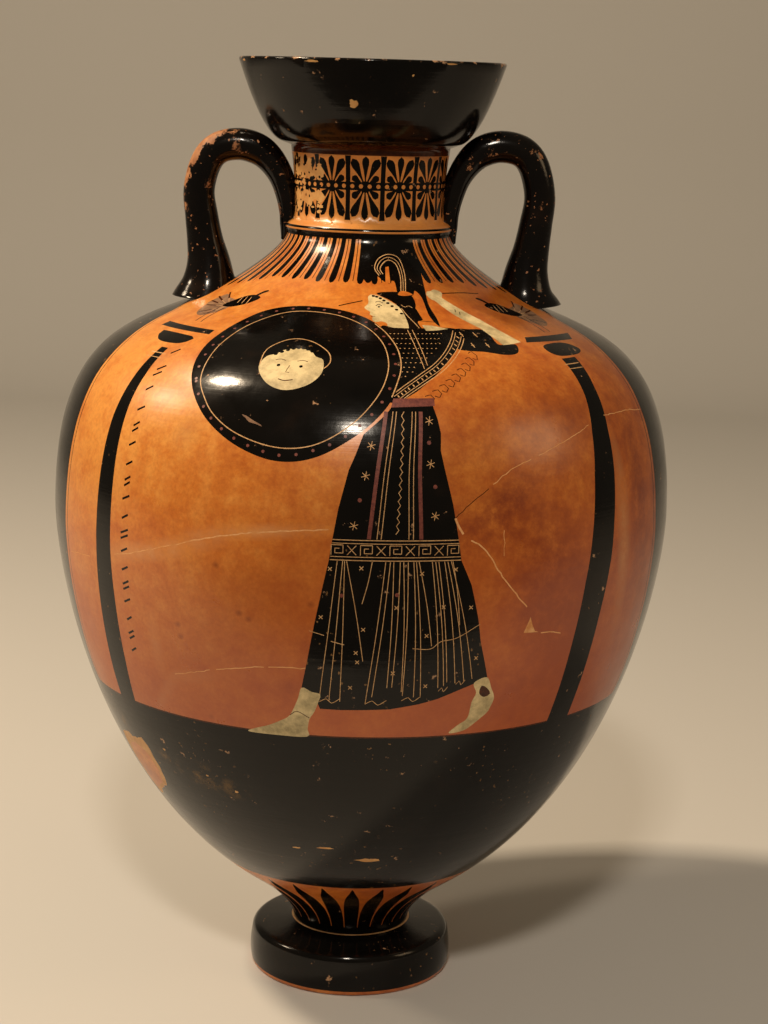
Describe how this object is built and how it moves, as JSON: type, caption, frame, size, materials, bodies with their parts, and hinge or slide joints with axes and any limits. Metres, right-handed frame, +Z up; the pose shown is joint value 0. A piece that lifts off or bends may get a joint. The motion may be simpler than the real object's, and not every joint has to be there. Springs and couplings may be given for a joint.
{
  "type": "amphora",
  "caption": "Tall fired-clay neck amphora with a disc foot, swelling body, collared neck, flaring mouth and two upright rod handles, open and hollow for holding liquid",
  "frame": {"origin": "middle of the underside of the foot, on the surface that it stands on", "axes": "Z up along the vessel's axis, X through the two handles, the figured panel faces -Y"},
  "size_m": [0.4094, 0.4094, 0.6195],
  "materials": {
    "slip_glazed_clay": "orange fired clay with a glossy black slip, painted in a figured panel and worn at the edges"
  },
  "bodies": {
    "root": {"amphora": "slip_glazed_clay"}
  },
  "joints": []
}
